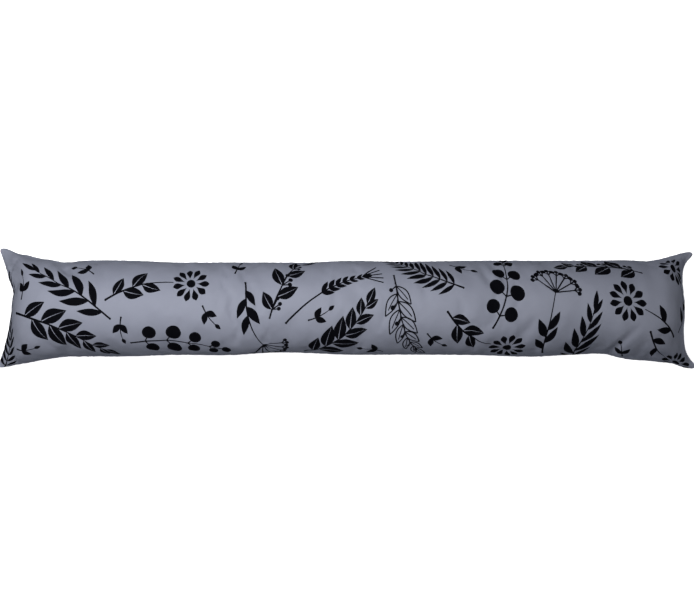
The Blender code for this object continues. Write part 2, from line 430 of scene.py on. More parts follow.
def swollen_panel(rows, columns, side, swelling):
    """Points of the face (side 1) or the back (side -1) on its seams, part filled."""
    s, t = np.meshgrid(np.linspace(0, 1, rows), np.linspace(-1, 1, columns), indexing="ij")
    along = s + (pulled_in(s) - s) * np.cos(t * math.pi / 2)
    left = end_line(LEFT_END, TIP_SHARES[0], t)
    right = LENGTH - end_line(RIGHT_END, TIP_SHARES[1], t)
    x = left + along * (right - left)
    rise = end_rise(np.minimum(x - left, right - x))
    upper, lower = side_lines(x)
    width = t + (np.sin(t * math.pi / 2) - t) * rise
    y = (upper - lower) / 2 + (upper + lower) / 2 * width
    x -= LENGTH / 2
    ear = ear_closeness(x, y)
    crown = THICKNESS - SEAM_HEIGHT if side > 0 else SEAM_HEIGHT + FLOOR_SINK
    swell = crown * np.cos(t * math.pi / 2) * rise * (1 - EAR_THINNING * ear)
    swell += filling(x, t) * np.cos(t * math.pi / 2) * rise
    height = SEAM_HEIGHT - EAR_DROOP * ear + side * swell * swelling
    return np.stack([x, y, height], axis=2)


def join_panels(face, back):
    """One closed list of points and quads from two grids that share their border."""
    rows, columns = face.shape[:2]
    inner = np.zeros((rows, columns), bool)
    inner[1:-1, 1:-1] = True
    face_number = np.arange(rows * columns).reshape(rows, columns)
    back_number = face_number.copy()
    back_number[inner] = rows * columns + np.arange(inner.sum())
    quads = []
    for numbers, turn in ((face_number, 1), (back_number, -1)):
        loop = (numbers[:-1, :-1], numbers[1:, :-1], numbers[1:, 1:], numbers[:-1, 1:])
        quads += np.stack(loop, axis=2).reshape(-1, 4)[:, ::turn].tolist()
    points = np.concatenate([face.reshape(rows * columns, -1), back[inner]])
    return points, quads, face_number, back_number


def spare_share(rows, columns):
    """How much of the spare cloth each point of a panel has, 0 to 1."""
    along, across = np.linspace(0, PANEL_LENGTH, rows), np.linspace(0, PANEL_WIDTH, columns)
    u, v = np.meshgrid(along, across, indexing="ij")
    from_end, from_side = np.minimum(u, PANEL_LENGTH - u), np.minimum(v, PANEL_WIDTH - v)
    at_ends = np.exp(-((from_end / END_REACH) ** 2))
    at_sides = SIDE_SEAM_SHARE * np.exp(-((from_side / SIDE_REACH) ** 2))
    return np.maximum(at_ends, at_sides)


def blow_up(face, back, sizes):
    """Let the cloth swell and settle over the filling, held at its seams."""
    rows, columns = face.shape[:2]
    noise = np.random.default_rng(NOISE_SEED)
    for grid in (face, back):
        grid[1:-1, 1:-1] += noise.normal(0, START_NOISE, grid[1:-1, 1:-1].shape)
    points, quads, face_number, back_number = join_panels(face, back)
    share = spare_share(rows, columns)[..., None]
    share = join_panels(share, share)[0][:, 0]
    mesh = bpy.data.meshes.new("settling_cloth")
    mesh.from_pydata(points.tolist(), [], quads)
    item = bpy.data.objects.new("settling_cloth", mesh)
    scene = bpy.context.scene
    scene.collection.objects.link(item)
    edges = (face_number[0], face_number[-1], face_number[:, 0], face_number[:, -1])
    border = np.unique(np.concatenate(edges)).tolist()
    item.vertex_groups.new(name="seam").add(border, 1.0, "REPLACE")
    spare = item.vertex_groups.new(name="spare")
    for number, weight in enumerate(share):
        spare.add([number], float(weight), "REPLACE")
    cloth = item.modifiers.new("cloth", "CLOTH")
    give = cloth.settings
    give.quality = 6
    give.mass = 0.1
    give.tension_stiffness = give.compression_stiffness = 40
    give.shear_stiffness = 20
    give.bending_stiffness = sizes.stiffness
    give.tension_damping = give.compression_damping = give.shear_damping = 1
    give.bending_damping = 0.2
    give.air_damping = 1
    give.use_pressure = True
    give.uniform_pressure_force = sizes.pressure
    give.vertex_group_mass = "seam"
    give.vertex_group_shrink = "spare"
    give.shrink_min, give.shrink_max = -SPARE_CLOTH, -SPARE_AT_ENDS
    give.effector_weights.gravity = 0
    cloth.collision_settings.use_collision = False
    cloth.point_cache.frame_start, cloth.point_cache.frame_end = 1, SIM_FRAMES
    for step in range(1, SIM_FRAMES + 1):
        scene.frame_set(step)
    settled = item.evaluated_get(bpy.context.evaluated_depsgraph_get()).data
    moved = np.empty(len(settled.vertices) * 3, np.float32)
    settled.vertices.foreach_get("co", moved)
    move = moved.reshape(-1, 3) - points
    far = np.linalg.norm(move, axis=1, keepdims=True)
    points = points + move * np.minimum(1, sizes.most_movement / np.maximum(far, 1e-9))
    bpy.data.objects.remove(item)
    bpy.data.meshes.remove(mesh)
    scene.frame_set(1)
    return soften(points[face_number]), soften(points[back_number])


def soften(grid):
    """Ease the narrowest creases of a settled panel, with its border kept."""
    eased = grid.copy()
    beside = grid[:-2, 1:-1] + grid[2:, 1:-1] + grid[1:-1, :-2] + grid[1:-1, 2:]
    eased[1:-1, 1:-1] = (4 * grid[1:-1, 1:-1] + beside) / 8
    return eased


def read_panel(grid, u, v):
    """A grid of points read smoothly at places of the flat panel (Catmull-Rom both ways)."""
    rows, columns = grid.shape[:2]
    wide = np.pad(grid, ((1, 1), (1, 1), (0, 0)), mode="reflect", reflect_type="odd")
    total = np.zeros((len(u), grid.shape[2]))
    picks = []
    for place, count in ((u / PANEL_LENGTH, rows), (v / PANEL_WIDTH, columns)):
        at = np.clip(place * (count - 1), 0, count - 1)
        cell = np.minimum(at.astype(int), count - 2)
        f = at - cell
        shares = (
            (-f + 2 * f**2 - f**3) / 2,
            (2 - 5 * f**2 + 3 * f**3) / 2,
            (f + 4 * f**2 - 3 * f**3) / 2,
            (f**3 - f**2) / 2,
        )
        picks.append((cell, shares))
    (row, along), (column, across) = picks
    for i, one in enumerate(along):
        for j, other in enumerate(across):
            total += (one * other)[:, None] * wide[row + i, column + j]
    return total


def way(turn):
    """Unit vector that points at a turn."""
    return np.array([math.cos(turn), math.sin(turn)])


def ribbon(middle, widths):
    """Outline of a line with a width, from the points along its middle."""
    along = np.gradient(middle, axis=0)
    aside = np.stack([-along[:, 1], along[:, 0]], axis=1)
    aside /= np.linalg.norm(aside, axis=1, keepdims=True)
    half = np.asarray(widths)[:, None] / 2
    return np.concatenate([middle + aside * half, (middle - aside * half)[::-1]])


def disc(centre, radius, sides=12):
    """Outline of a dot."""
    a = np.linspace(0, 2 * math.pi, sides, endpoint=False)
    return centre + radius * np.stack([np.cos(a), np.sin(a)], axis=1)


def pen_line(start, end):
    """Outline of a straight line as wide as the pen."""
    return ribbon(np.array([start, end]), [PEN_WIDTH, PEN_WIDTH])


def leaf(style, base, turn, length, width, bend):
    """Outlines of one leaf of a sprig."""
    k = np.linspace(0, 1, LEAF_POINTS)
    ahead, aside = way(turn), way(turn + math.pi / 2)
    middle = base + np.outer(k * length, ahead) + np.outer(bend * length * k**2, aside)
    fullest = PETAL_FULLEST if style == "petal" else LEAF_FULLEST
    half = (width / 2 * np.sin(math.pi * k**fullest))[:, None]
    left, right = middle + half * aside, middle - half * aside
    if style in ("solid", "petal"):
        return [np.concatenate([left, right[-2:0:-1]])]
    if style == "veined":
        gap = MIDRIB * (1 - k)[:, None] * aside
        return [
            np.concatenate([left[1:], (middle + gap)[-2::-1]]),
            np.concatenate([middle - gap, right[-2:0:-1]]),
        ]
    if style == "line":
        pen = np.full(len(k), PEN_WIDTH)
        midrib = ribbon(middle[:MIDRIB_POINTS], pen[:MIDRIB_POINTS] * MIDRIB_PEN)
        return [ribbon(left, pen), ribbon(right, pen), midrib]
    a = np.linspace(0, 2 * math.pi, ROUND_POINTS, endpoint=False)
    centre = base + ahead * length * ROUND_MIDDLE
    blade = centre + np.outer(np.cos(a) * length * ROUND_HALF, ahead)
    blade = blade + np.outer(np.sin(a) * width / 2, aside)
    return [pen_line(base, base + ahead * length * ROUND_STALK), blade]


def sprig_top(kind, tip, turn):
    """Outlines of what a stem ends in."""
    shapes = []
    if kind["top"] == "leaf":
        length, width = kind["length"] * TOP_LEAF, kind["width"] * TOP_LEAF
        shapes += leaf(kind["leaf"], tip - way(turn) * TOP_OVERLAP, turn, length, width, 0.0)
    elif kind["top"] == "awns":
        shapes += leaf("solid", tip, turn, kind["length"] * EAR_GRAIN, kind["width"], 0.0)
        for splay in AWN_SPLAYS:
            start, end = (tip + way(turn + splay) * reach for reach in AWN_REACH)
            shapes.append(pen_line(start, end))
    elif kind["top"] == "umbel":
        for splay in np.linspace(-UMBEL_SPREAD, UMBEL_SPREAD, UMBEL_RAYS):
            end = tip + way(turn + splay) * UMBEL_REACH
            shapes.append(pen_line(tip, end))
            for fan in UMBEL_FAN:
                dot = end + way(turn + splay + fan) * UMBEL_STALK
                shapes += [pen_line(end, dot), disc(dot, UMBEL_BERRY)]
    elif kind["top"] == "daisy":
        centre = tip + way(turn) * DAISY_REACH
        shapes.append(disc(centre, DAISY_HEART, 16))
        for petal in range(DAISY_PETALS):
            lean = turn + 2 * math.pi * petal / DAISY_PETALS
            start = centre + way(lean) * PETAL_START
            shapes += leaf("petal", start, lean, PETAL_LENGTH, PETAL_WIDTH, 0.0)
    return shapes


def sprig(name, reach, curl):
    """Outlines of one printed sprig, with the middle of its stem at the origin."""
    kind = dict(zip(KIND_COLUMNS, KINDS[name]))
    k = np.linspace(0, 1, STEM_STEPS + 1)
    turns = math.radians(curl) * (k - 0.5) * 2
    path = np.stack([np.cos(turns[:-1]), np.sin(turns[:-1])], axis=1) * reach / STEM_STEPS
    middle = np.concatenate([[[0, 0]], np.cumsum(path, axis=0)])
    middle -= middle[STEM_STEPS // 2]
    stem = ribbon(middle, kind["stem"] * (1 - STEM_TAPER * k))
    shapes = [stem, disc(middle[0], kind["stem"] * STEM_FOOT)]
    count = kind["pairs"] * (1 if kind["opposite"] else 2)
    for n in range(count):
        at = kind["start"] + (kind["stop"] - kind["start"]) * n / max(count - 1, 1)
        spot = np.array([np.interp(at, k, middle[:, 0]), np.interp(at, k, middle[:, 1])])
        turn = np.interp(at, k, turns)
        grow = 1.0 - TOP_SHRINK * max(at - LARGEST_AT, 0) / (1 - LARGEST_AT)
        grow -= FOOT_SHRINK * max(LARGEST_AT - at, 0) / LARGEST_AT
        length, width = kind["length"] * grow, kind["width"] * grow
        splay = math.radians(kind["splay"]) * (1 - CLOSING_UP * at)
        for side in ((1, -1) if kind["opposite"] else ((1, -1)[n % 2],)):
            shapes += leaf(kind["leaf"], spot, turn + side * splay, length, width, -LEAF_BEND * side)
            for berry in range(kind["bunch"] if n % 2 == 0 else 0):
                away = turn - side * (splay + BERRY_SPREAD[0] - BERRY_SPREAD[1] * berry)
                end = spot + way(away) * (BERRY_STALK[0] + BERRY_STALK[1] * berry) * grow
                shapes += [pen_line(spot, end), disc(end, BERRY_SIZE[0] * grow + BERRY_SIZE[1])]
    return shapes + sprig_top(kind, middle[-1], turns[-1])


def near_points(shapes):
    """A search tree over the corners of printed outlines."""
    spots = np.concatenate(shapes)
    tree = KDTree(len(spots))
    for number, spot in enumerate(spots):
        tree.insert((*spot, 0), number)
    tree.balance()
    return tree


def leaf_print():
    """Outlines of the whole print, each sprig dropped where it clears the ones before."""
    pick = np.random.default_rng(DROP_SEED)
    shapes, printed = [], None
    drops = [dict(zip(DROP_COLUMNS, row)) for row in DROPS for _ in range(row[-1])]
    large = sum(drop["kind"] != "bud" for drop in drops)
    for number, drop in enumerate(drops):
        new = sprig(drop["kind"], drop["reach"], drop["curl"])
        for _ in range(DROP_TRIES):
            if number < large:
                slot = pick.uniform(number + SLOT_REACH[0], number + SLOT_REACH[1]) / large
            else:
                slot = pick.uniform(0, 1)
            up = pick.uniform(DROP_MARGIN, PANEL_WIDTH - DROP_MARGIN)
            centre = np.array([slot * PANEL_LENGTH, up])
            turn = pick.uniform(-math.pi, math.pi)
            spin = np.array([way(turn), way(turn + math.pi / 2)])
            laid = [shape @ spin + centre for shape in new]
            spots = np.concatenate(laid)
            if np.mean(inside_seam(spots) > 0) < DROP_INSIDE:
                continue
            if printed is None or all(printed.find((*spot, 0))[2] > DROP_GAP for spot in spots):
                shapes += laid
                printed = near_points(shapes)
                break
    return [counter_clockwise(shape) for shape in shapes]


def inside_seam(where):
    """Distance in from the seam, which rounds the corners of the panel."""
    half = np.array([PANEL_LENGTH, PANEL_WIDTH]) / 2
    past = np.abs(where - half) - half + CORNER_RADIUS
    out = np.linalg.norm(np.maximum(past, 0), axis=1) + np.minimum(past.max(axis=1), 0)
    return CORNER_RADIUS - out


def panel_border(cell):
    """Places along the seam, counter-clockwise from the lower left corner."""
    runs = []
    corners = (
        (CORNER_RADIUS, CORNER_RADIUS, 180),
        (PANEL_LENGTH - CORNER_RADIUS, CORNER_RADIUS, 270),
        (PANEL_LENGTH - CORNER_RADIUS, PANEL_WIDTH - CORNER_RADIUS, 0),
        (CORNER_RADIUS, PANEL_WIDTH - CORNER_RADIUS, 90),
    )
    for number, (x, y, turn) in enumerate(corners):
        a = np.radians(turn + np.linspace(0, 90, CORNER_STEPS + 1))
        arc = np.array([x, y]) + CORNER_RADIUS * np.stack([np.cos(a), np.sin(a)], axis=1)
        size = (PANEL_LENGTH, PANEL_WIDTH)[number % 2] - 2 * CORNER_RADIUS
        k = np.linspace(0, 1, round(size / cell) + 1)[1:-1, None]
        next_x, next_y, next_turn = corners[(number + 1) % 4]
        start = np.array([next_x, next_y]) + CORNER_RADIUS * way(math.radians(next_turn))
        runs += [arc, arc[-1] + (start - arc[-1]) * k]
    return np.concatenate(runs)


def panel_inside(cell):
    """Places inside the seam: close rows that follow it, then even staggered rows."""
    near = np.array(SEAM_ROWS)
    half = np.array([PANEL_LENGTH, PANEL_WIDTH]) / 2
    border = panel_border(FACE_CELL)
    rows = []
    for step in near:
        rows.append(half + (border - half) * (1 - step / half))
    first = near[-1] + cell * FIRST_EVEN_ROW
    up = round((PANEL_WIDTH - 2 * first) / (cell * math.sqrt(3) / 2))
    for number, v in enumerate(np.linspace(first, PANEL_WIDTH - first, up + 1)):
        along = np.arange(first + cell / 2 * (number % 2), PANEL_LENGTH - first, cell)
        rows.append(np.stack([along, np.full(len(along), v)], axis=1))
    inner = np.concatenate(rows)
    return inner[inside_seam(inner) > near[0] / 2]


def clear_of(spots, shapes, gap):
    """Leave out spots that lie closer than the gap to a printed outline's points."""
    printed = near_points(shapes)
    return spots[[printed.find((*spot, 0))[2] > gap for spot in spots]]


def cut_panel(border, inner, shapes):
    """Triangles of a flat panel, cut along the outlines of its print.

    Returns the places of the points, the triangles, and which triangles are printed.
    """
    spots = [Vector(p) for p in np.concatenate([border, inner] + shapes)]
    outlines = [list(range(len(border)))]
    first = len(border) + len(inner)
    for shape in shapes:
        outlines.append(list(range(first, first + len(shape))))
        first += len(shape)
    where, _, triangles, _, _, owners = delaunay_2d_cdt(
        spots, [], outlines, 0, CUT_ACCURACY, True
    )
    where, triangles = np.array([tuple(p) for p in where]), np.array(triangles)
    kept = np.array([0 in owner for owner in owners])
    printed = np.array([len(owner) > 1 for owner in owners])[kept]
    used, numbers = np.unique(triangles[kept], return_inverse=True)
    return where[used], numbers.reshape(-1, 3), printed


def counter_clockwise(shape):
    """An outline turned the way that the cut needs."""
    x, y = shape[:, 0], shape[:, 1]
    turn = np.sum(x * np.roll(y, -1) - np.roll(x, -1) * y)
    return shape if turn > 0 else shape[::-1]


def fold_relief(x, y, folds):
    """Height that the folds add: each is a soft trough with raised shoulders."""
    relief = np.zeros_like(x)
    for row in folds:
        fold = dict(zip(FOLD_COLUMNS, row))
        turn = math.radians(fold["turn"])
        dx, dy = x - fold["x"], y - fold["y"]
        along = (dx * math.cos(turn) + dy * math.sin(turn)) / fold["reach"]
        off = (dy * math.cos(turn) - dx * math.sin(turn)) / fold["width"]
        relief -= fold["depth"] * (1 - 0.5 * off**2) * np.exp(-(off**2) / 2 - along**2)
    return relief


def pucker_relief(u, v, side):
    """Short uneven waves across the seams, gone a little way up the panel."""
    total = np.zeros_like(u)
    # Each seam: places along it, distance from it, and a phase of its own.
    seams = (
        (u, v, 0.0),
        (u, PANEL_WIDTH - v, 1.3),
        (v, u, 2.9),
        (v, PANEL_LENGTH - u, 4.1),
    )
    for run, off, seam in seams:
        drift = 1.7 * np.sin(2 * math.pi * run / PUCKER_DRIFT + seam + side)
        uneven = 0.6 + 0.4 * np.sin(2 * math.pi * run / (2.3 * PUCKER_DRIFT) + 2 * seam)
        for length, height, reach in PUCKERS:
            wave = np.sin(2 * math.pi * run / length + drift + seam)
            fade = np.exp(-off / reach) * (1 - np.exp(-off / PUCKER_START))
            total += height * uneven * wave * fade
    return total


def lump_relief(u, v, seed):
    """A soft uneven field, from many small waves that run every way."""
    pick = np.random.default_rng(seed)
    total = np.zeros_like(u)
    for _ in range(LUMPS):
        length = pick.uniform(*LUMP_LENGTHS)
        turn, phase = pick.uniform(0, math.pi), pick.uniform(0, 2 * math.pi)
        total += np.sin(2 * math.pi * (u * math.cos(turn) + v * math.sin(turn)) / length + phase)
    return LUMP_HEIGHT * total / math.sqrt(LUMPS / 2)


def relief(where, points, side):
    """How far the finished cloth stands out from the settled panel."""
    u, v = where[:, 0], where[:, 1]
    from_seam = inside_seam(where)
    section = np.array(ROLL_SECTION)
    roll = np.interp(from_seam, section[:, 0], section[:, 1])
    off_seam = 1 - np.exp(-((from_seam / RELIEF_START) ** 2))
    off_stitching = (PANEL_LENGTH - u - CLOSING_LINE) / CLOSING_SPREAD
    closing = CLOSING_DENT * np.exp(-(off_stitching**2))
    folds = EAR_FOLDS + (FACE_FOLDS if side > 0 else BACK_FOLDS)
    shape = fold_relief(points[:, 0], points[:, 1], folds) + lump_relief(u, v, LUMP_SEED + side)
    return roll + pucker_relief(u, v, side) + shape * off_seam - closing


def finish_panel(grid, where, side):
    """The finished points of a panel from its settled grid."""
    normals = read_panel(outward(grid, side), where[:, 0], where[:, 1])
    normals /= np.linalg.norm(normals, axis=1, keepdims=True)
    points = read_panel(grid, where[:, 0], where[:, 1])
    return points + normals * relief(where, points, side)[:, None]


def rim(triangles):
    """Numbers of the points round the edge of a flat panel, in order, counter-clockwise."""
    edges = np.concatenate([triangles[:, [0, 1]], triangles[:, [1, 2]], triangles[:, [2, 0]]])
    edges = set(map(tuple, edges.tolist()))
    following = dict(edge for edge in edges if edge[::-1] not in edges)
    loop = [min(following)]
    while following[loop[-1]] != loop[0]:
        loop.append(following[loop[-1]])
    return np.array(loop)


def cover_mesh(face, back):
    """The whole closed cover: printed face and plain back on one seam."""
    shapes = leaf_print()
    inner = clear_of(panel_inside(FACE_CELL), shapes, PRINT_CLEARANCE)
    where, triangles, printed = cut_panel(panel_border(FACE_CELL), inner, shapes)
    face_points = finish_panel(face, where, 1)

    seam = rim(triangles)
    back_where, back_triangles, _ = cut_panel(where[seam], panel_inside(BACK_CELL), [])
    back_points = finish_panel(back, back_where, -1)
    shared = rim(back_triangles)
    by_place = {tuple(where[n].round(6)): n for n in seam}
    numbers = np.full(len(back_where), -1)
    numbers[shared] = [by_place[tuple(back_where[n].round(6))] for n in shared]
    own = numbers < 0
    numbers[own] = len(where) + np.arange(own.sum())
    face_points[numbers[shared]] = (face_points[numbers[shared]] + back_points[shared]) / 2

    points = np.concatenate([face_points, back_points[own]])
    points[:, 2] = flatten(points[:, 2])
    faces = np.concatenate([triangles, numbers[back_triangles][:, ::-1]])
    mesh = bpy.data.meshes.new("filled_cover")
    mesh.from_pydata(points.tolist(), [], faces.tolist())
    mesh.shade_smooth()
    face_map = (where + FACE_ON_MAP)[triangles]
    back_map = (back_where + BACK_ON_MAP)[back_triangles][:, ::-1]
    places = np.concatenate([face_map, back_map]).astype(np.float32)
    mesh.uv_layers.new(name="cloth_metres").uv.foreach_set("vector", places.ravel())
    return mesh, np.concatenate([printed, np.zeros(len(back_triangles), bool)])


def seam_lines(face, back):
    """Points along the four seams, clear of the corners, a little out of the groove."""
    lines = []
    for size, other in ((PANEL_LENGTH, PANEL_WIDTH), (PANEL_WIDTH, PANEL_LENGTH)):
        run = np.linspace(STITCH_MARGIN, size - STITCH_MARGIN, round(size / SIM_CELL))
        for edge in (0, other):
            where = np.stack([run, np.full(len(run), edge)], axis=1)
            where = where if other == PANEL_WIDTH else where[:, ::-1]
            inward = np.array([PANEL_LENGTH, PANEL_WIDTH]) / 2 - where
            inward[:, 0 if other == PANEL_WIDTH else 1] = 0
            inward *= STITCH_SLOPE / np.linalg.norm(inward, axis=1, keepdims=True)
            seam, inside = (
                (finish_panel(face, place, 1) + finish_panel(back, place, -1)) / 2
                for place in (where, where + inward)
            )
            out = seam - inside
            lines.append(seam + out * SEAM_THREAD_OUT / np.linalg.norm(out, axis=1, keepdims=True))
    return lines


def closing_lines(face, back):
    """Points under the edge stitching of the right end, on the face and on the back."""
    v = np.linspace(STITCH_MARGIN, PANEL_WIDTH - STITCH_MARGIN, 60)
    where = np.stack([np.full(len(v), PANEL_LENGTH - CLOSING_LINE), v], axis=1)
    return finish_panel(face, where, 1), finish_panel(back, where, -1)


def fill_inputs(tree, node, inputs):
    """Link the inputs whose value is another node's socket, and set the others."""
    for name, value in inputs.items():
        if isinstance(value, bpy.types.NodeSocket):
            tree.links.new(value, node.inputs[name])
        else:
            node.inputs[name].default_value = value
    return node


def add_node(tree, kind, inputs, **settings):
    """A new node with its settings and inputs."""
    node = tree.nodes.new(kind)
    for name, value in settings.items():
        setattr(node, name, value)
    return fill_inputs(tree, node, inputs)


def stitch_tree(thread):
    """Node tree that lays stitches along a line: a grain of thread at every pitch."""
    tree = bpy.data.node_groups.new("stitches", "GeometryNodeTree")
    tree.interface.new_socket("Geometry", in_out="INPUT", socket_type="NodeSocketGeometry")
    sockets = {}
    for name in STITCH_COLUMNS:
        socket = tree.interface.new_socket(name, in_out="INPUT", socket_type="NodeSocketFloat")
        sockets[name] = socket.identifier
    tree.interface.new_socket("Geometry", in_out="OUTPUT", socket_type="NodeSocketGeometry")
    given = add_node(tree, "NodeGroupInput", {}).outputs
    curve = add_node(tree, "GeometryNodeMeshToCurve", {"Mesh": given["Geometry"]})
    pitched = {"Curve": curve.outputs["Curve"], "Length": given["pitch"]}
    spots = add_node(tree, "GeometryNodeCurveToPoints", pitched, mode="LENGTH").outputs
    run = {0: spots["Tangent"], "Scale": given["along"]}
    run = add_node(tree, "ShaderNodeVectorMath", run, operation="SCALE")
    up = add_node(tree, "ShaderNodeCombineXYZ", {"Z": given["across"]})
    lie = {0: run.outputs["Vector"], 1: up.outputs["Vector"]}
    lie = add_node(tree, "ShaderNodeVectorMath", lie)
    turn = {"Vector": lie.outputs["Vector"]}
    turn = add_node(tree, "FunctionNodeAlignRotationToVector", turn, axis="Z")
    size = {"X": given["width"], "Y": given["width"], "Z": given["length"]}
    size = add_node(tree, "ShaderNodeCombineXYZ", size)
    grain = {"Segments": GRAIN_SIDES, "Rings": GRAIN_RINGS, "Radius": 0.5}
    grain = add_node(tree, "GeometryNodeMeshUVSphere", grain)
    sewn = {
        "Points": spots["Points"],
        "Instance": grain.outputs["Mesh"],
        "Rotation": turn.outputs["Rotation"],
        "Scale": size.outputs["Vector"],
    }
    sewn = add_node(tree, "GeometryNodeInstanceOnPoints", sewn).outputs["Instances"]
    real = add_node(tree, "GeometryNodeRealizeInstances", {"Geometry": sewn}).outputs["Geometry"]
    dressed = {"Geometry": real, "Material": thread}
    dressed = add_node(tree, "GeometryNodeSetMaterial", dressed).outputs["Geometry"]
    add_node(tree, "NodeGroupOutput", {"Geometry": dressed})
    return tree, sockets


def sew(name, lines, stitch, thread):
    """A piece of stitches along lines of points, made by geometry nodes and kept as a mesh."""
    edges, first = [], 0
    for line in lines:
        edges += [(first + n, first + n + 1) for n in range(len(line) - 1)]
        first += len(line)
    path = bpy.data.meshes.new(name + "_path")
    path.from_pydata(np.concatenate(lines).tolist(), edges, [])
    item = bpy.data.objects.new(name + "_path", path)
    bpy.context.scene.collection.objects.link(item)
    tree, sockets = stitch_tree(thread)
    nodes = item.modifiers.new("stitches", "NODES")
    nodes.node_group = tree
    for column, value in zip(STITCH_COLUMNS, stitch):
        nodes[sockets[column]] = value
    made = bpy.data.meshes.new_from_object(item.evaluated_get(bpy.context.evaluated_depsgraph_get()))
    bpy.data.objects.remove(item)
    if not made.polygons:
        raise RuntimeError(name + ": no stitch was made")
    made.name = name
    made.shade_smooth()
    piece = bpy.data.objects.new(name, made)
    bpy.context.scene.collection.objects.link(piece)
    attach(piece, "root")
    return piece


def new_material(name):
    """A new material, its node tree and its shader."""
    material = bpy.data.materials.new(name)
    material.use_nodes = True
    return material, material.node_tree, material.node_tree.nodes["Principled BSDF"]


def weave_nodes(tree, sizes):
    """Nodes that cloth and ink share; returns the cloth's map and the woven surface."""
    where = add_node(tree, "ShaderNodeUVMap", {}, uv_map="cloth_metres").outputs["UV"]
    uneven = add_node(tree, "ShaderNodeTexNoise", {"Scale": 260, "Detail": 1, "Vector": where})
    sway = {0: uneven.outputs["Color"], 1: (YARN_SWAY, YARN_SWAY, 0), 2: where}
    sway = add_node(tree, "ShaderNodeVectorMath", sway, operation="MULTIPLY_ADD")
    split = add_node(tree, "ShaderNodeSeparateXYZ", {"Vector": sway.outputs["Vector"]})
    waves = []
    for axis in ("X", "Y"):
        count = {0: split.outputs[axis], 1: 2 * math.pi / sizes.yarn}
        count = add_node(tree, "ShaderNodeMath", count, operation="MULTIPLY")
        wave = add_node(tree, "ShaderNodeMath", {0: count.outputs[0]}, operation="SINE")
        waves.append(wave.outputs[0])
    weave = add_node(tree, "ShaderNodeMath", dict(enumerate(waves)), operation="MULTIPLY")
    crumple = {"Scale": 38, "Detail": 1, "Roughness": 0.45, "Vector": where}
    crumple = add_node(tree, "ShaderNodeTexNoise", crumple)
    soft = {"Distance": 0.0012, "Strength": 0.26, "Height": crumple.outputs["Fac"]}
    soft = add_node(tree, "ShaderNodeBump", soft)
    fine = {"Distance": 0.00008, "Strength": 0.5, "Height": weave.outputs[0]}
    fine = add_node(tree, "ShaderNodeBump", {**fine, "Normal": soft.outputs["Normal"]})
    return where, fine.outputs["Normal"]


def two_shades(tree, colour, dark, light, noise):
    """A colour that wanders between a darker and a lighter shade of itself."""
    colour = np.array(colour)
    shades = {"A": (*(colour * dark), 1), "B": (*(colour * light), 1), "Factor": noise}
    return add_node(tree, "ShaderNodeMix", shades, data_type="RGBA").outputs["Result"]


def cloth_material(sizes):
    """Grey polyester cloth with a fine plain weave and a slight sheen."""
    material, tree, shader = new_material("cover_cloth")
    where, woven = weave_nodes(tree, sizes)
    dye = add_node(tree, "ShaderNodeTexNoise", {"Scale": 14, "Detail": 4, "Vector": where})
    looks = {
        "Base Color": two_shades(tree, sizes.cloth_colour, 0.93, 1.07, dye.outputs["Fac"]),
        "Roughness": 0.55,
        "Sheen Weight": 0.01,
        "Sheen Roughness": 0.45,
        "Specular IOR Level": 0.22,
        "Normal": woven,
    }
    fill_inputs(tree, shader, looks)
    return material


def ink_material(sizes):
    """Black ink printed into the same cloth."""
    material, tree, shader = new_material("printed_ink")
    _, woven = weave_nodes(tree, sizes)
    looks = {
        "Base Color": (*sizes.ink_colour, 1),
        "Roughness": 0.8,
        "Specular IOR Level": 0.01,
        "Normal": woven,
    }
    fill_inputs(tree, shader, looks)
    return material


def thread_material(sizes):
    """Twisted sewing thread, a little darker than the cloth."""
    material, tree, shader = new_material("sewing_thread")
    where = add_node(tree, "ShaderNodeTexCoord", {}).outputs["Object"]
    twist = add_node(tree, "ShaderNodeTexNoise", {"Scale": 2600, "Vector": where})
    looks = {
        "Base Color": two_shades(tree, sizes.cloth_colour, 0.55, 0.95, twist.outputs["Fac"]),
        "Roughness": 0.5,
        "Specular IOR Level": 0.4,
    }
    fill_inputs(tree, shader, looks)
    return material


def lay_floor(scene, sizes):
    """A pale floor that gives off light but adds none to the cushion."""
    corners = [(x * FLOOR_HALF, y * FLOOR_HALF, 0) for x, y in ((-1, -1), (1, -1), (1, 1), (-1, 1))]
    mesh = bpy.data.meshes.new("floor")
    mesh.from_pydata(corners, [], [(0, 1, 2, 3)])
    floor = bpy.data.objects.new("floor", mesh)
    floor.location.z = -FLOOR_BELOW
    floor.visible_diffuse = False
    floor.visible_glossy = False
    floor.visible_shadow = False
    paper, tree, shader = new_material("pale_floor")
    looks = {
        "Base Color": (*sizes.floor_colour, 1),
        "Roughness": 0.9,
        "Emission Color": (1, 1, 1, 1),
        "Emission Strength": sizes.floor_glow,
    }
    fill_inputs(tree, shader, looks)
    mesh.materials.append(paper)
    scene.collection.objects.link(floor)


def area_light(scene, name, power, size):
    """A round soft light that is left out of the picture."""
    light = bpy.data.lights.new(name, "AREA")
    light.shape = "DISK"
    light.size = size
    light.energy = power
    lamp = bpy.data.objects.new(name, light)
    lamp.visible_camera = False
    scene.collection.objects.link(lamp)
    return lamp


def number(name, description, default, unit="NONE"):
    """A number that the user can set."""
    return FloatProperty(name=name, description=description, default=default, unit=unit)


def colour(name, description, default):
    """A colour that the user can set."""
    return FloatVectorProperty(
        name=name, description=description, default=default, subtype="COLOR"
    )


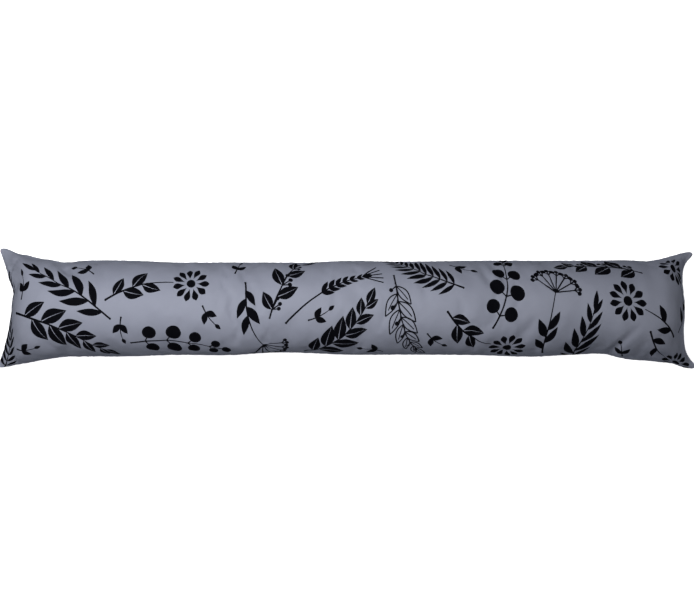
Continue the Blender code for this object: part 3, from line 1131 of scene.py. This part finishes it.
class ExcluderCover(bpy.types.PropertyGroup):
    """Sizes and colours of the filled cover."""

    pressure: number("Filling pressure", "How hard the filling swells the cover", 4.0)
    stiffness: number("Cloth stiffness", "How much the cloth resists bending", 0.18)
    most_movement: number("Most movement", "How far the cloth may settle", 0.012, "LENGTH")
    yarn: number("Yarn pitch", "Distance between yarns", 0.0005, "LENGTH")
    cloth_colour: colour("Cloth", "Colour of the cloth", (0.214, 0.227, 0.283))
    ink_colour: colour("Ink", "Colour of the print", (0.0027, 0.0028, 0.0042))


class ExcluderStage(bpy.types.PropertyGroup):
    """Floor and lights."""

    floor_colour: colour("Floor", "Colour of the floor", (0.86, 0.86, 0.87))
    floor_glow: number("Floor glow", "Light that the floor gives off", 0.96)
    key_power: number("Key light", "Power of the soft light", 12.8, "POWER")
    table_power: number("Table light", "Power of the light from below", 3.6, "POWER")
    end_power: number("End lights", "Power of the light at each end", 0.7, "POWER")
    room_light: number("Room light", "Strength of the light all round", 0.05)


class EXCLUDER_OT_cover(bpy.types.Operator):
    """Sew, fill and print the cover"""

    bl_idname = "excluder.cover"
    bl_label = "Filled cover"

    def execute(self, context):
        sizes = context.scene.excluder_cover
        rows = round(PANEL_LENGTH / SIM_CELL) + 1
        columns = round(PANEL_WIDTH / SIM_CELL) + 1
        swelling = START_SWELL
        face = swollen_panel(rows, columns, 1, swelling)
        back = swollen_panel(rows, columns, -1, swelling)
        face, back = blow_up(face, back, sizes)
        mesh, inked = cover_mesh(face, back)
        SEWN["seam"], SEWN["closing"] = seam_lines(face, back), closing_lines(face, back)
        mesh.materials.append(cloth_material(sizes))
        mesh.materials.append(ink_material(sizes))
        mesh.polygons.foreach_set("material_index", inked.astype(np.int32))
        cover = bpy.data.objects.new("filled_cover", mesh)
        context.scene.collection.objects.link(cover)
        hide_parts("cushion")
        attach(cover, "root")
        return {"FINISHED"}


class EXCLUDER_OT_stitches(bpy.types.Operator):
    """Sew the seams and close the right end"""

    bl_idname = "excluder.stitches"
    bl_label = "Stitches"

    def execute(self, context):
        if not SEWN:
            self.report({"ERROR"}, "Make the filled cover first")
            return {"CANCELLED"}
        thread = thread_material(context.scene.excluder_cover)
        sew("seam_stitches", SEWN["seam"], SEAM_STITCHES, thread)
        sew("closing_stitches", SEWN["closing"], CLOSING_STITCHES, thread)
        return {"FINISHED"}


class EXCLUDER_OT_stage(bpy.types.Operator):
    """Lay a pale floor, hang the lights and set up the camera"""

    bl_idname = "excluder.stage"
    bl_label = "Stage"

    def execute(self, context):
        sizes = context.scene.excluder_stage
        scene = context.scene
        lay_floor(scene, sizes)
        for row in LIGHTS:
            hang = dict(zip(LIGHT_COLUMNS, row))
            lamp = area_light(scene, hang["name"], getattr(sizes, hang["power"]), hang["size"])
            aim = Vector(hang["target"]) - Vector(hang["place"])
            lamp.location = hang["place"]
            lamp.rotation_euler = aim.to_track_quat("-Z", "Y").to_euler()
        table = area_light(scene, "table_light", sizes.table_power, TABLE_LIGHT[0])
        table.data.shape = "RECTANGLE"
        table.data.size_y = TABLE_LIGHT[1]
        table.data.color = TABLE_LIGHT_COLOUR
        table.location.z = TABLE_LIGHT_HEIGHT
        table.rotation_euler.x = math.pi
        world = bpy.data.worlds.new("room")
        world.use_nodes = True
        background = world.node_tree.nodes["Background"]
        background.inputs["Color"].default_value = (1, 1, 1, 1)
        background.inputs["Strength"].default_value = sizes.room_light
        scene.world = world
        lens = bpy.data.cameras.new("camera")
        camera = bpy.data.objects.new("camera", lens)
        camera.location.z = SEAM_HEIGHT + CAMERA_DISTANCE
        lens.lens = lens.sensor_width * CAMERA_DISTANCE / PICTURE_WIDTH
        scene.collection.objects.link(camera)
        scene.camera = camera
        scene.view_settings.view_transform = "Standard"
        return {"FINISHED"}


class EXCLUDER_PT_pieces(bpy.types.Panel):
    """Lists the pieces of the draught excluder"""

    bl_idname = "EXCLUDER_PT_pieces"
    bl_label = "Draught excluder"
    bl_space_type = "VIEW_3D"
    bl_region_type = "UI"
    bl_category = "Excluder"

    def draw(self, context):
        for name in OPERATORS:
            self.layout.operator(name)


MAKERS = (EXCLUDER_OT_cover, EXCLUDER_OT_stitches, EXCLUDER_OT_stage)
OPERATORS = tuple(maker.bl_idname for maker in MAKERS)
CLASSES = (ExcluderCover, ExcluderStage, *MAKERS, EXCLUDER_PT_pieces)

# Lines of points along the seams, left by the cover for its stitches.
SEWN = {}


def register():
    for item in CLASSES:
        bpy.utils.register_class(item)
    bpy.types.Scene.excluder_cover = PointerProperty(type=ExcluderCover)
    bpy.types.Scene.excluder_stage = PointerProperty(type=ExcluderStage)


def unregister():
    del bpy.types.Scene.excluder_stage
    del bpy.types.Scene.excluder_cover
    for item in reversed(CLASSES):
        bpy.utils.unregister_class(item)


def main():
    register()
    for name in OPERATORS:
        group, action = name.split(".")
        getattr(getattr(bpy.ops, group), action)()


if __name__ == "__main__":
    main()
